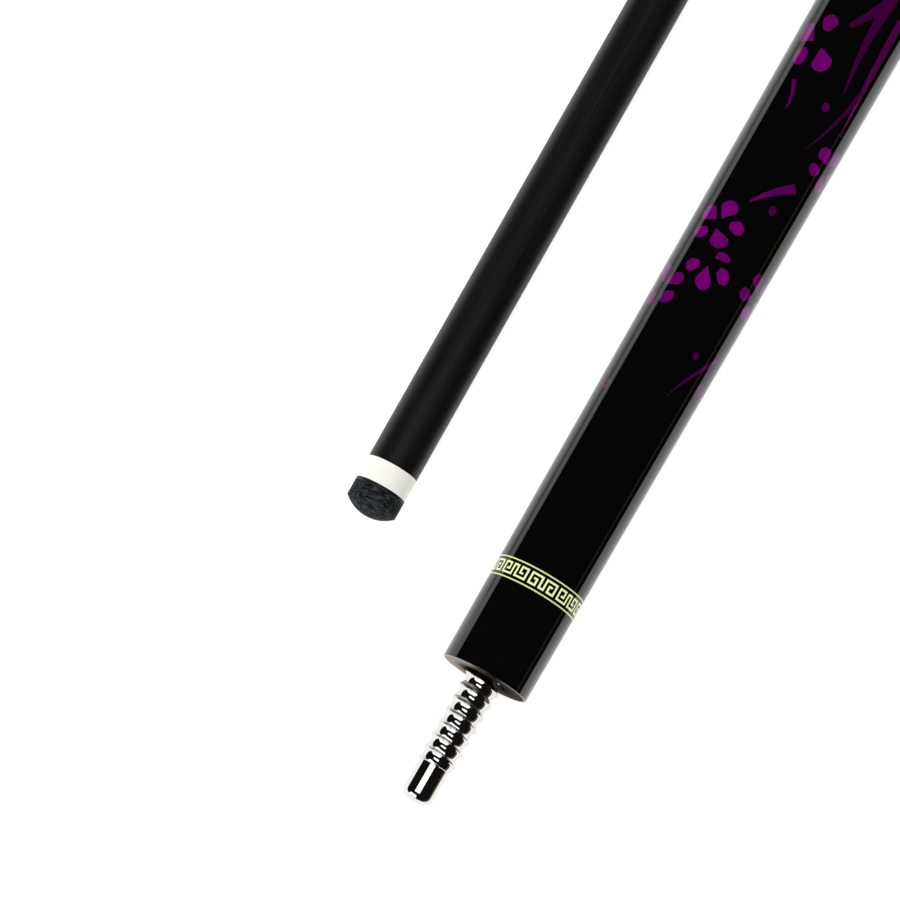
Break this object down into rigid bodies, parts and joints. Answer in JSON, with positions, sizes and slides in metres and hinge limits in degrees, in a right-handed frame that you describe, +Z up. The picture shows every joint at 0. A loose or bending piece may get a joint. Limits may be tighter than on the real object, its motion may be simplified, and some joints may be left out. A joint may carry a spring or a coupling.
{
  "type": "pool cue",
  "caption": "Two-piece pool cue taken apart: black butt with joint pin, key-pattern rings, wrap and bumper, beside its carbon shaft with ferrule and leather tip.",
  "frame": {"origin": "middle of the footprint of the two halves, on the surface that they lie on", "axes": "+X the way the joint pin and the tip point, +Z up, +Y from the shaft towards the butt"},
  "size_m": [0.788, 0.0786, 0.032],
  "materials": {
    "mirror_steel": "mirror polished stainless steel",
    "turned_steel": "turned and polished stainless steel",
    "plain_steel": "machined steel",
    "black_lacquered_wood": "high-gloss black lacquer over maple with a purple blossom print",
    "maple_core": "plain turned maple",
    "black_resin": "polished black resin",
    "key_band": "black resin with a pale green key pattern",
    "pale_green_line": "pale yellow-green resin",
    "linen": "pressed black linen with fine white flecks",
    "bumper_rubber": "matte black rubber",
    "vulcanised_fibre": "black vulcanised fibre",
    "tip_leather": "layered, pressed black pigskin",
    "white_resin": "white resin",
    "carbon_tube": "satin unidirectional carbon fibre",
    "tenon_resin": "moulded composite",
    "plug_wood": "turned maple",
    "foam": "light expanding foam",
    "brass": "machined brass"
  },
  "bodies": {
    "butt": {"joint_pin": "mirror_steel", "joint_face_plate": "turned_steel", "forearm_stud": "plain_steel", "sleeve_stud": "plain_steel", "weight_tube": "plain_steel", "forearm": "black_lacquered_wood", "butt_sleeve": "black_lacquered_wood", "handle_core": "maple_core", "joint_collar": "black_resin", "butt_cap": "black_resin", "cap_ring": "black_resin", "joint_ring_key_band": "key_band", "wrap_back_ring_key_band": "key_band", "wrap_front_ring_key_band": "key_band", "joint_ring_line_back": "pale_green_line", "joint_ring_line_front": "pale_green_line", "wrap_back_ring_line_back": "pale_green_line", "wrap_back_ring_line_front": "pale_green_line", "wrap_front_ring_line_back": "pale_green_line", "wrap_front_ring_line_front": "pale_green_line", "linen_wrap": "linen", "bumper_insert": "brass"},
    "shaft_carrier": {"foam_core": "foam"},
    "shaft": {"tip": "tip_leather", "tip_pad": "vulcanised_fibre", "ferrule": "white_resin", "tenon_plug": "tenon_resin", "shaft_tube": "carbon_tube", "shaft_collar": "black_resin", "back_plug": "plug_wood", "joint_insert": "brass", "shaft_ring_line_back": "pale_green_line", "shaft_ring_key_band": "key_band", "shaft_ring_line_front": "pale_green_line"},
    "bumper_carrier": {"bumper_washer": "vulcanised_fibre"},
    "bumper": {"bumper": "bumper_rubber", "bumper_stud": "plain_steel"},
    "weight": {"weight_bolt": "plain_steel"}
  },
  "joints": [
    {"name": "shaft_travel", "type": "slide", "parent": "butt", "child": "shaft_carrier", "axis": [-0.9999, -0.014, 0.0061], "range_m": [0, 0.02286]},
    {"name": "shaft_turn", "type": "hinge", "parent": "shaft_carrier", "child": "shaft", "pos_m": [-0.39388, -0.02862, 0.01065], "axis": [-0.9999, -0.014, 0.0061], "range_deg": [0, 2593]},
    {"name": "bumper_travel", "type": "slide", "parent": "butt", "child": "bumper_carrier", "axis": [-1, 0, 0.0074], "range_m": [0, 0.015]},
    {"name": "bumper_turn", "type": "hinge", "parent": "bumper_carrier", "child": "bumper", "pos_m": [-0.36274, 0.02327, 0.016], "axis": [-1, 0, 0.0074], "range_deg": [0, 3601]},
    {"name": "weight_travel", "type": "slide", "parent": "butt", "child": "weight", "axis": [1, 0, -0.0074], "range_m": [0, 0.025]}
  ],
  "couplings": [
    {"joint": "shaft_turn", "follows": "shaft_travel", "rad_per_m": 1979},
    {"joint": "bumper_turn", "follows": "bumper_travel", "rad_per_m": 4188.8}
  ]
}
